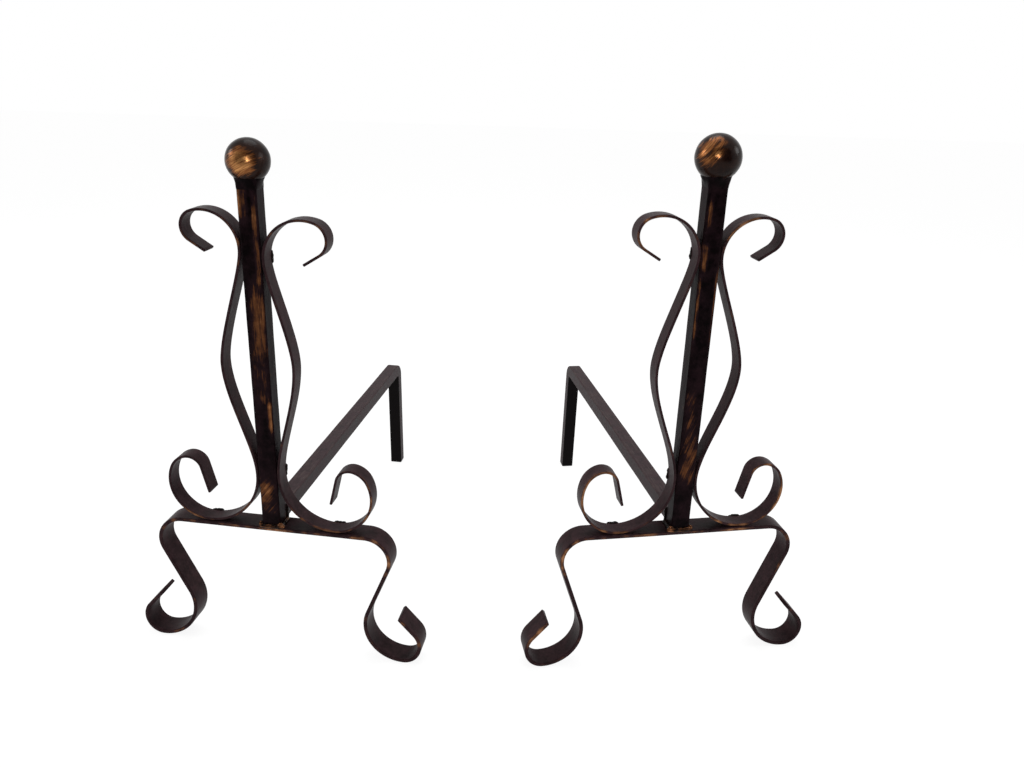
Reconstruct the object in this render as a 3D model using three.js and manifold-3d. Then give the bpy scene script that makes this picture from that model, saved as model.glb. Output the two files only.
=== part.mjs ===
// A pair of welded wrought-iron andirons, or fire dogs.
// Millimetres, +Z up, standing on the floor at z = 0. X runs along the line through the two posts,
// the scrolls face -Y, and the log bars run back along +Y.
// Each andiron is drawn in a frame of its own: the post's axis is at x = 0, y = 0, and z = 0 is the
// top of its foot strap, so the floor is at minus the leg height.

import * as THREE from 'three';
import { mergeVertices } from 'three/addons/utils/BufferGeometryUtils.js';
import Module from 'manifold-3d';

const wasm = await Module();
wasm.setup();

// Where the two andirons stand: how far apart their posts are, how far each is turned so that the log
// bars draw together at the back, and how far the right-hand one stands back.
const POST_SPACING = 350.5;
const LEFT_TOE_IN_DEGREES = 8.2;
const RIGHT_TOE_IN_DEGREES = 10.1;
const RIGHT_SETBACK = 4;

// The two were made by hand to one pattern, and each came out a little different: how high its foot
// strap stands, how long its post is and how big its ball is.
const LEFT = { legHeight: 124.7, postLength: 289.9, ballDiameter: 33.4 };
const RIGHT = { legHeight: 130.2, postLength: 296, ballDiameter: 35.4 };

// How each scroll and foot departs from the pattern below: how much higher the scroll's upper contact
// is, how much further its belly reaches, how much larger its upper curl is, and how much more its
// leg slants inwards.
LEFT.outer = { rise: 2.1, belly: -0.8, curl: 0.94, slantDegrees: 4.2 };
LEFT.inner = { rise: -5, belly: -4.4, curl: 1.035, slantDegrees: 1.2 };
RIGHT.outer = { rise: 1, belly: 3.5, curl: 0.99, slantDegrees: -0.2 };
RIGHT.inner = { rise: 1.8, belly: 1.7, curl: 1.015, slantDegrees: -2.5 };

// Gap kept between two pieces that touch.
const SEAT = 0.3;

// Post: square bar with eased corners, from the foot strap to the ball.
const POST_WIDTH = 16;
const POST_CORNER_RADIUS = 1.5;

// The weld that fills the neck between the post and the ball on top of it.
const NECK_WELD_PROUD = 0.9;
const NECK_WELD_DROP = 3;
const NECK_WELD_RISE = 4.6;

// Foot strap: one flat bar, level over the middle, with a shoulder, a slanting leg and a curled foot
// on each side.
const FOOT_STRAP_WIDTH = 21;
const FOOT_STRAP_THICKNESS = 3.4;
const FOOT_STRAP_LEAD = 1;
const SHOULDER_START = 82.2;
const SHOULDER_RADIUS = 21.6;
const LEG_SLANT_DEGREES = 21.3;
const FOOT_CURL_RADIUS = 33.8;
const FOOT_TOE_RADIUS = 14.5;
const FOOT_TOE_DEGREES = 54;
const FOOT_TIP_RADIUS = 17.7;
const FOOT_TIP_DEGREES = 78;
const FOOT_TIP_LENGTH = 20.5;

// Scroll: one flat bar with a curl at the top, a belly, and a curl at the bottom. It touches the post
// above and below the belly, and the foot strap under the lower curl.
const SCROLL_WIDTH = 15;
const SCROLL_THICKNESS = 2.2;
const UPPER_CONTACT_HEIGHT = 239;
const UPPER_CONTACT_LENGTH = 1;
const UPPER_CURL_RADIUS = 30.6;
const UPPER_CURL_DEGREES = 107.5;
const UPPER_TIP_RADIUS = 13.4;
const UPPER_TIP_DEGREES = 130.5;
const UPPER_TIP_LENGTH = 14.7;
const BELLY_REACH = 32.7;
const BELLY_HEIGHT = 146;
const BELLY_TOP_PULL = 16.5;
const BELLY_UPPER_PULL = 24;
const BELLY_LOWER_PULL = 31;
const BELLY_BOTTOM_PULL = 26;
const LOWER_CONTACT_LENGTH = 1;
const LOWER_SWEEP_RADIUS = 46.5;
const LOWER_RISE_RADIUS = 33.4;
const LOWER_RISE_DEGREES = 115.5;
const LOWER_TOP_RADIUS = 18.5;
const LOWER_TOP_DEGREES = 47;
const LOWER_TIP_RADIUS = 12.2;
const LOWER_TIP_DEGREES = 94;
const LOWER_TIP_LENGTH = 23.5;

// Log bar: square bar that butts on the back of the post, rests on the foot strap, runs back level
// and bends down into the rear leg.
const LOG_BAR_WIDTH = 14;
const LOG_BAR_REACH = 392;
const LOG_BAR_BEND_RADIUS = 10;
const REAR_LEG_SLANT_DEGREES = 3;

// Welds: beads round the feet of the post and the log bar, and short tacks on the scrolls.
const POST_BEAD_LEG = 3.6;
const LOG_BAR_BEAD_LEG = 2.8;
const TACK_LENGTH = 11;
const TACK_WIDTH = 5.4;
const TACK_HEIGHT = 5;

// How finely curves are drawn.
const BEND_STEP_DEGREES = 9;
const SWEEP_STEPS = 8;
const BEAD_STEPS = 4;
const BALL_SEGMENTS = 28;

const IRON_BLACK = new THREE.MeshStandardMaterial({ color: '#2b211d', roughness: 0.42, metalness: 0.35 });
const RUBBED_IRON = new THREE.MeshStandardMaterial({ color: '#4a3123', roughness: 0.38, metalness: 0.5 });
const STRAP_IRON = new THREE.MeshStandardMaterial({ color: '#3b2e2e', roughness: 0.45, metalness: 0.35 });
const BAR_IRON = new THREE.MeshStandardMaterial({ color: '#453c3d', roughness: 0.55, metalness: 0.3 });

// The middle line of a bent bar, walked from one end to the other. It keeps stations, each with its
// place in the plane of the bend and its heading. Angles are in degrees and turn anticlockwise.
class MiddleLine {
  constructor(x, z, headingDegrees) {
    this.stations = [{ x, z, heading: THREE.MathUtils.degToRad(headingDegrees) }];
  }

  get end() {
    return this.stations[this.stations.length - 1];
  }

  straight(length) {
    const { x, z, heading } = this.end;
    this.stations.push({ x: x + length * Math.cos(heading), z: z + length * Math.sin(heading), heading });
    return this;
  }

  bend(degrees, radius) {
    const { x, z, heading } = this.end;
    const side = Math.sign(degrees);
    const centreX = x - side * radius * Math.sin(heading);
    const centreZ = z + side * radius * Math.cos(heading);
    const steps = Math.max(1, Math.ceil(Math.abs(degrees) / BEND_STEP_DEGREES));
    for (let step = 1; step <= steps; step += 1) {
      const turned = heading + THREE.MathUtils.degToRad((degrees * step) / steps);
      this.stations.push({
        x: centreX + side * radius * Math.sin(turned),
        z: centreZ - side * radius * Math.cos(turned),
        heading: turned,
      });
    }
    return this;
  }

  // A smooth run to a place and heading. Each pull is how far the line keeps to its heading there.
  sweepTo(x, z, headingDegrees, startPull, endPull) {
    const start = this.end;
    const finish = THREE.MathUtils.degToRad(headingDegrees);
    const curve = new THREE.CubicBezierCurve(
      new THREE.Vector2(start.x, start.z),
      new THREE.Vector2(start.x + startPull * Math.cos(start.heading), start.z + startPull * Math.sin(start.heading)),
      new THREE.Vector2(x - endPull * Math.cos(finish), z - endPull * Math.sin(finish)),
      new THREE.Vector2(x, z),
    );
    for (let step = 1; step <= SWEEP_STEPS; step += 1) {
      const point = curve.getPoint(step / SWEEP_STEPS);
      const heading = curve.getTangent(step / SWEEP_STEPS).angle();
      this.stations.push({ x: point.x, z: point.y, heading });
    }
    return this;
  }

  reversed() {
    const line = new MiddleLine(0, 0, 0);
    line.stations = this.stations.map(({ x, z, heading }) => ({ x, z, heading: heading + Math.PI })).reverse();
    return line;
  }

  mirrored() {
    const line = new MiddleLine(0, 0, 0);
    line.stations = this.stations.map(({ x, z, heading }) => ({ x: -x, z, heading: Math.PI - heading }));
    return line;
  }

  followedBy(other) {
    this.stations.push(...other.stations.slice(1));
    return this;
  }

  // The outline of a bar of this thickness, with square ends that stand out by grow.
  outline(thickness, grow) {
    const first = this.stations[0];
    const last = this.end;
    const lengthened = [
      { ...first, x: first.x - grow * Math.cos(first.heading), z: first.z - grow * Math.sin(first.heading) },
      ...this.stations.slice(1, -1),
      { ...last, x: last.x + grow * Math.cos(last.heading), z: last.z + grow * Math.sin(last.heading) },
    ];
    const offset = (distance) => ({ x, z, heading }) =>
      new THREE.Vector2(x - distance * Math.sin(heading), z + distance * Math.cos(heading));
    const half = thickness / 2 + grow;
    return new THREE.Shape([...lengthened.map(offset(half)), ...lengthened.map(offset(-half)).reverse()]);
  }
}

// A bar bent in the X-Z plane, with its width along Y and centred on y = 0.
function bentBar(line, thickness, width, grow = 0) {
  const depth = width + 2 * grow;
  const geometry = new THREE.ExtrudeGeometry(line.outline(thickness, grow), { depth, bevelEnabled: false });
  return geometry.rotateX(Math.PI / 2).translate(0, depth / 2, 0);
}

function roundedSquare(width, radius) {
  const half = width / 2;
  const flat = half - radius;
  const shape = new THREE.Shape();
  shape.moveTo(half, -flat);
  shape.absarc(flat, flat, radius, 0, Math.PI / 2);
  shape.absarc(-flat, flat, radius, Math.PI / 2, Math.PI);
  shape.absarc(-flat, -flat, radius, Math.PI, 1.5 * Math.PI);
  shape.absarc(flat, -flat, radius, 1.5 * Math.PI, 2 * Math.PI);
  return shape;
}

function box(minX, maxX, minY, maxY, minZ, maxZ) {
  const geometry = new THREE.BoxGeometry(maxX - minX, maxY - minY, maxZ - minZ);
  return geometry.translate((minX + maxX) / 2, (minY + maxY) / 2, (minZ + maxZ) / 2);
}

function toSolid(geometry) {
  const bare = geometry.clone();
  bare.deleteAttribute('normal');
  bare.deleteAttribute('uv');
  const merged = mergeVertices(bare);
  return new wasm.Manifold(new wasm.Mesh({
    numProp: 3,
    vertProperties: new Float32Array(merged.attributes.position.array),
    triVerts: new Uint32Array(merged.index.array),
  }));
}

function toGeometry(solid) {
  const mesh = solid.getMesh();
  const geometry = new THREE.BufferGeometry();
  geometry.setAttribute('position', new THREE.BufferAttribute(mesh.vertProperties, 3));
  geometry.setIndex(new THREE.BufferAttribute(mesh.triVerts, 1));
  geometry.computeVertexNormals();
  return geometry;
}

function cutAway(geometry, ...tools) {
  return toGeometry(tools.reduce((rest, tool) => rest.subtract(toSolid(tool)), toSolid(geometry)));
}

// ---- bars -------------------------------------------------------------------------------------

const scrollMiddle = POST_WIDTH / 2 + SEAT + SCROLL_THICKNESS / 2;
const lowerContactHeight = SEAT + SCROLL_THICKNESS / 2 + LOWER_SWEEP_RADIUS;
const footStrapBack = FOOT_STRAP_WIDTH - POST_WIDTH / 2 - FOOT_STRAP_LEAD;

function post({ postLength }, grow = 0) {
  const outline = roundedSquare(POST_WIDTH + 2 * grow, POST_CORNER_RADIUS + grow);
  const options = { depth: postLength + 2 * grow, bevelEnabled: false, curveSegments: 3 };
  return new THREE.ExtrudeGeometry(outline, options).translate(0, 0, SEAT - grow);
}

function ball({ postLength, ballDiameter }, grow = 0) {
  const sphere = new THREE.SphereGeometry(ballDiameter / 2 + grow, BALL_SEGMENTS, BALL_SEGMENTS / 2);
  return sphere.rotateX(Math.PI / 2).translate(0, 0, SEAT + postLength + SEAT + ballDiameter / 2);
}

// side is 1 for the scroll on the post's +X side and -1 for its mirror image.
function scroll({ rise, belly, curl }, side, grow = 0) {
  const line = new MiddleLine(scrollMiddle, UPPER_CONTACT_HEIGHT + rise, 90)
    .bend(-UPPER_CURL_DEGREES, curl * UPPER_CURL_RADIUS)
    .bend(-UPPER_TIP_DEGREES, curl * UPPER_TIP_RADIUS)
    .straight(UPPER_TIP_LENGTH)
    .reversed()
    .straight(UPPER_CONTACT_LENGTH)
    .sweepTo(BELLY_REACH + belly, BELLY_HEIGHT, -90, BELLY_TOP_PULL, BELLY_UPPER_PULL)
    .sweepTo(scrollMiddle, lowerContactHeight + LOWER_CONTACT_LENGTH, -90, BELLY_LOWER_PULL, BELLY_BOTTOM_PULL)
    .straight(LOWER_CONTACT_LENGTH)
    .bend(90, LOWER_SWEEP_RADIUS)
    .bend(LOWER_RISE_DEGREES, LOWER_RISE_RADIUS)
    .bend(LOWER_TOP_DEGREES, LOWER_TOP_RADIUS)
    .bend(LOWER_TIP_DEGREES, LOWER_TIP_RADIUS)
    .straight(LOWER_TIP_LENGTH);
  return bentBar(side > 0 ? line : line.mirrored(), SCROLL_THICKNESS, SCROLL_WIDTH, grow);
}

// Half of the foot strap's middle line, from under the post to the tip of the foot on its +X side.
function halfStrap(legHeight, { slantDegrees }) {
  const degrees = LEG_SLANT_DEGREES + slantDegrees;
  const slant = Math.sin(THREE.MathUtils.degToRad(degrees));
  const bends = (SHOULDER_RADIUS + FOOT_CURL_RADIUS) * (1 + slant);
  const legLength = (legHeight - FOOT_STRAP_THICKNESS - bends) / Math.sqrt(1 - slant * slant);
  return new MiddleLine(0, -FOOT_STRAP_THICKNESS / 2, 0)
    .straight(SHOULDER_START)
    .bend(-90 - degrees, SHOULDER_RADIUS)
    .straight(legLength)
    .bend(90 + degrees, FOOT_CURL_RADIUS)
    .bend(FOOT_TOE_DEGREES, FOOT_TOE_RADIUS)
    .bend(FOOT_TIP_DEGREES, FOOT_TIP_RADIUS)
    .straight(FOOT_TIP_LENGTH);
}

// outward is 1 where the outer foot is on the +X side and -1 where it is on the -X side.
function footStrap({ legHeight, outer, inner }, outward, grow = 0) {
  const [minusFoot, plusFoot] = outward > 0 ? [inner, outer] : [outer, inner];
  const line = halfStrap(legHeight, minusFoot).mirrored().reversed().followedBy(halfStrap(legHeight, plusFoot));
  const middleY = footStrapBack - FOOT_STRAP_WIDTH / 2;
  return bentBar(line, FOOT_STRAP_THICKNESS, FOOT_STRAP_WIDTH, grow).translate(0, middleY, 0);
}

function logBar({ legHeight }, grow = 0) {
  const front = POST_WIDTH / 2 + SEAT;
  const straight = LOG_BAR_REACH - LOG_BAR_WIDTH / 2 - LOG_BAR_BEND_RADIUS - front;
  const line = new MiddleLine(front, SEAT + LOG_BAR_WIDTH / 2, 0)
    .straight(straight)
    .bend(REAR_LEG_SLANT_DEGREES - 90, LOG_BAR_BEND_RADIUS)
    .straight(legHeight + LOG_BAR_WIDTH);
  const uncut = bentBar(line, LOG_BAR_WIDTH, LOG_BAR_WIDTH, grow).rotateZ(Math.PI / 2);
  const below = box(-LOG_BAR_REACH, LOG_BAR_REACH, 0, 2 * LOG_BAR_REACH, -3 * legHeight, -legHeight);
  return cutAway(uncut, below);
}

// ---- welds ------------------------------------------------------------------------------------

// Fills the neck between the square post and the ball, flaring from the one to the other.
function neckWeld(made) {
  const postTop = SEAT + made.postLength;
  const cornerReach = POST_WIDTH / Math.SQRT2 - POST_CORNER_RADIUS * (Math.SQRT2 - 1);
  const radius = cornerReach + SEAT + NECK_WELD_PROUD;
  const profile = [
    new THREE.Vector2(0, postTop - NECK_WELD_DROP),
    new THREE.Vector2(radius - 0.5 * NECK_WELD_PROUD, postTop - NECK_WELD_DROP),
    new THREE.Vector2(radius, postTop - 0.5 * NECK_WELD_DROP),
    new THREE.Vector2(radius, postTop + NECK_WELD_RISE),
    new THREE.Vector2(0, postTop + NECK_WELD_RISE),
  ];
  const blob = new THREE.LatheGeometry(profile, BALL_SEGMENTS).rotateX(Math.PI / 2);
  return cutAway(blob, post(made, SEAT), ball(made, SEAT));
}

// A rounded bead with its legs on a bar of this square section and on the face that it stands on.
function bead(width, cornerRadius, leg) {
  const options = {
    depth: SEAT,
    bevelThickness: leg,
    bevelSize: leg,
    bevelSegments: BEAD_STEPS,
    curveSegments: 2,
  };
  return new THREE.ExtrudeGeometry(roundedSquare(width, cornerRadius), options);
}

// Runs round the front and both sides of the post, flush with the foot strap's front edge.
function postFootWeld(made) {
  const far = POST_WIDTH + POST_BEAD_LEG;
  const strapFront = footStrapBack - FOOT_STRAP_WIDTH;
  return cutAway(
    bead(POST_WIDTH, POST_CORNER_RADIUS, POST_BEAD_LEG),
    post(made, SEAT),
    box(-far, far, -far, far, -far, SEAT),
    box(-far, far, POST_WIDTH / 2, far, -far, far),
    box(-far, far, -far, strapFront, -far, far),
  );
}

// Stands in the corner between one side of the log bar and the back of the post, as high as the bar,
// whose top stays clear for the logs.
function logBarWeld(side) {
  const far = LOG_BAR_WIDTH + LOG_BAR_BEAD_LEG;
  const back = POST_WIDTH / 2 + SEAT;
  const barSide = LOG_BAR_WIDTH / 2 + SEAT;
  const round = bead(LOG_BAR_WIDTH, POST_CORNER_RADIUS, LOG_BAR_BEAD_LEG)
    .rotateX(Math.PI / 2)
    .translate(0, back, SEAT + LOG_BAR_WIDTH / 2);
  return cutAway(
    round,
    box(side > 0 ? -far : -barSide, side > 0 ? barSide : far, -far, 2 * far, -far, 2 * far),
    box(-far, far, -far, back, -far, 2 * far),
    box(-far, far, -far, 2 * far, -far, SEAT),
    box(-far, far, -far, 2 * far, SEAT + LOG_BAR_WIDTH, 2 * far),
  );
}

// A short bead, longest along the given axis, laid where pieces meet and fitted round them.
function tack(x, y, z, along, ...pieces) {
  const size = { x: TACK_WIDTH, y: TACK_WIDTH, z: TACK_HEIGHT, [along]: TACK_LENGTH };
  const lump = new THREE.SphereGeometry(0.5, 12, 8).scale(size.x, size.y, size.z).translate(x, y, z);
  return cutAway(lump, ...pieces);
}

function upperTack(made, place, side) {
  const height = UPPER_CONTACT_HEIGHT + made[place].rise - UPPER_CONTACT_LENGTH / 2;
  return tack(side * scrollMiddle, POST_WIDTH / 2, height, 'z', post(made, SEAT), scroll(made[place], side, SEAT));
}

function lowerTack(made, place, side) {
  const height = lowerContactHeight + LOWER_CONTACT_LENGTH / 2;
  return tack(side * scrollMiddle, POST_WIDTH / 2, height, 'z', post(made, SEAT), scroll(made[place], side, SEAT));
}

function footTack(made, place, side, outward) {
  const x = side * (scrollMiddle + LOWER_SWEEP_RADIUS);
  const y = SCROLL_WIDTH / 2 + SEAT;
  const z = SEAT + SCROLL_THICKNESS / 2;
  return tack(x, y, z, 'x', scroll(made[place], side, SEAT), footStrap(made, outward, SEAT));
}

// ---- assembly ---------------------------------------------------------------------------------

// outward is the side of the scroll that faces away from the other andiron: 1 for +X, -1 for -X.
function andiron(prefix, made, outward) {
  const group = new THREE.Group();
  const add = (name, geometry, material) => {
    const mesh = new THREE.Mesh(geometry, material.clone());
    mesh.name = `${prefix}_${name}`;
    group.add(mesh);
  };
  add('post', post(made), RUBBED_IRON);
  add('ball', ball(made), RUBBED_IRON);
  add('neck_weld', neckWeld(made), IRON_BLACK);
  add('foot_strap', footStrap(made, outward), STRAP_IRON);
  add('log_bar', logBar(made), BAR_IRON);
  add('post_foot_weld', postFootWeld(made), RUBBED_IRON);
  for (const [place, side] of [['outer', outward], ['inner', -outward]]) {
    add(`log_bar_${place}_weld`, logBarWeld(side), IRON_BLACK);
    add(`${place}_scroll`, scroll(made[place], side), STRAP_IRON);
    add(`${place}_scroll_upper_weld`, upperTack(made, place, side), IRON_BLACK);
    add(`${place}_scroll_lower_weld`, lowerTack(made, place, side), IRON_BLACK);
    add(`${place}_scroll_foot_weld`, footTack(made, place, side, outward), IRON_BLACK);
  }
  group.position.z = made.legHeight;
  return group;
}

const left = andiron('left', LEFT, -1);
left.position.x = -POST_SPACING / 2;
left.rotation.z = -THREE.MathUtils.degToRad(LEFT_TOE_IN_DEGREES);

const right = andiron('right', RIGHT, 1);
right.position.x = POST_SPACING / 2;
right.position.y = RIGHT_SETBACK;
right.rotation.z = THREE.MathUtils.degToRad(RIGHT_TOE_IN_DEGREES);

// The origin is on the floor, under the middle of the pair.
const pair = new THREE.Group();
pair.add(left, right);
const middle = new THREE.Box3().setFromObject(pair, true).getCenter(new THREE.Vector3());
pair.position.set(-middle.x, -middle.y, 0);

export default pair;
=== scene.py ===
"""A pair of welded wrought-iron andirons: black enamel with copper rubbed on by hand, on a white floor.

Each andiron is drawn in millimetres in its own frame, with the post's axis at x = 0, y = 0 and z = 0 at the
top of its foot strap, and is then set where the frame's own post stands.
"""
import math
import random

import bpy
from mathutils import Matrix, Vector, noise


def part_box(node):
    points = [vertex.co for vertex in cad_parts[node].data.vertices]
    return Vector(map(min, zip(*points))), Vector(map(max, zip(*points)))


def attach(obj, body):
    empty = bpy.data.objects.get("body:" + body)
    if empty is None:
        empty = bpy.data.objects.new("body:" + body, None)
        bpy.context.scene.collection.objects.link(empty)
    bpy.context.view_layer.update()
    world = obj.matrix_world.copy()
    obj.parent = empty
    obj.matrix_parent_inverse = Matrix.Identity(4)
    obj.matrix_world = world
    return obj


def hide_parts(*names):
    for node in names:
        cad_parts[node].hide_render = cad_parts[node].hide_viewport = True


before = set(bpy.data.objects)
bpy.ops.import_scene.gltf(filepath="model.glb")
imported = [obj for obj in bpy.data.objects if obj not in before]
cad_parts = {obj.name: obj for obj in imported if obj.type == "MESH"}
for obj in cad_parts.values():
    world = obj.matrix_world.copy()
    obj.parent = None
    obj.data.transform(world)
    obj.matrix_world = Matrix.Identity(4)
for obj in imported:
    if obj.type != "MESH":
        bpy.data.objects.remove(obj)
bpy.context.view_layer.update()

MM = 0.001

# ---- sizes of the real bars, in millimetres -----------------------------------------------------

# The gap kept between two pieces that touch.
SEAT = 0.3

# How far each andiron is turned, and which way is away from the other one.
TURN_DEGREES = {"left": -8.2, "right": 10.1}
OUTWARD = {"left": -1, "right": 1}

# Post and ball.
POST_WIDTH = 16.0
POST_CORNER = 2.0
POST_LENGTH = {"left": 289.9, "right": 296.0}
BALL_RADIUS = {"left": 16.7, "right": 17.7}

# Foot strap: level over the middle, then a shoulder, a slanting leg and a curled foot on each side.
STRAP_WIDTH = 21.0
STRAP_THICKNESS = 3.4
STRAP_CORNER = 0.8
STRAP_FRONT = -9.0
SHOULDER_START = 82.2
SHOULDER_RADIUS = 21.6
LEG_SLANT_DEGREES = 21.3
FOOT_CURL_RADIUS = 33.8
FOOT_TOE_RADIUS = 14.5
FOOT_TOE_DEGREES = 54
FOOT_TIP_RADIUS = 17.7
FOOT_TIP_DEGREES = 78
FOOT_TIP_LENGTH = 20.5

# Scroll: a curl at the top, a belly between two contacts with the post, and a curl on the foot strap.
SCROLL_WIDTH = 15.0
SCROLL_THICKNESS = 2.2
SCROLL_CORNER = 0.6
SCROLL_MIDDLE = POST_WIDTH / 2 + SEAT + SCROLL_THICKNESS / 2
CONTACT_LENGTH = 1
UPPER_CONTACT_HEIGHT = 239
UPPER_CURL_RADIUS = 30.6
UPPER_CURL_DEGREES = 107.5
UPPER_TIP_RADIUS = 13.4
UPPER_TIP_DEGREES = 130.5
UPPER_TIP_LENGTH = 14.7
BELLY_REACH = 32.7
BELLY_HEIGHT = 146
BELLY_TOP_PULL = 16.5
BELLY_UPPER_PULL = 24
BELLY_LOWER_PULL = 31
BELLY_BOTTOM_PULL = 26
LOWER_SWEEP_RADIUS = 46.5
LOWER_CONTACT_HEIGHT = SEAT + SCROLL_THICKNESS / 2 + LOWER_SWEEP_RADIUS
LOWER_RISE_RADIUS = 33.4
LOWER_RISE_DEGREES = 115.5
LOWER_TOP_RADIUS = 18.5
LOWER_TOP_DEGREES = 47
LOWER_TIP_RADIUS = 12.2
LOWER_TIP_DEGREES = 94
LOWER_TIP_LENGTH = 23.5

# Log bar: back level from the post, then down into the rear leg.
BAR_WIDTH = 14.0
BAR_CORNER = 1.3
BAR_REACH = 392.0
BAR_BEND_RADIUS = 10
REAR_LEG_SLANT_DEGREES = 3

# How each scroll and foot departs from the pattern: its upper contact's rise, its belly's extra reach, its
# upper curl's size, and its leg's extra slant in degrees.
BY_HAND = {
    "left_outer": (2.1, -0.8, 0.94, 4.2),
    "left_inner": (-5.0, -4.4, 1.035, 1.2),
    "right_outer": (1.0, 3.5, 0.99, -0.2),
    "right_inner": (1.8, 1.7, 1.015, -2.5),
}

# How finely bends and straights are drawn, and how near to its rounded corners a face has a row of points.
BEND_STEP_DEGREES = 3.0
STRAIGHT_STEP = 2.5
CORNER_ROW = 0.25


# ---- colour and material helpers ----------------------------------------------------------------

def srgb(hex_colour):
    """The linear colour of an sRGB hex value."""
    parts = [int(hex_colour[i:i + 2], 16) / 255 for i in (1, 3, 5)]
    return [c / 12.92 if c <= 0.04045 else ((c + 0.055) / 1.055) ** 2.4 for c in parts] + [1.0]


def add_node(tree, kind, inputs=None, **settings):
    """Adds one node, with its settings, and its sockets' values or links."""
    node = tree.nodes.new(kind)
    for name, value in settings.items():
        setattr(node, name, value)
    for socket, value in (inputs or {}).items():
        if isinstance(value, bpy.types.NodeSocket):
            tree.links.new(value, node.inputs[socket])
        else:
            node.inputs[socket].default_value = value
    return node


# How often the brush's marks repeat in a metre, along the stroke and across it. Streaks are 36 mm long and
# 2.5 mm wide, bristle lines 11 mm long and 0.7 mm wide, the patches where it pressed 12 mm across, and the
# places with thin enamel 8 mm across.
STREAKS = (28.0, 400.0, 1.0)
BRISTLE_LINES = (90.0, 1400.0, 1.0)
PRESSED_PATCHES = 85.0
THIN_PLACES = 130.0
STREAK_SHARE = 0.45
MARK_CONTRAST = 1.4


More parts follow.
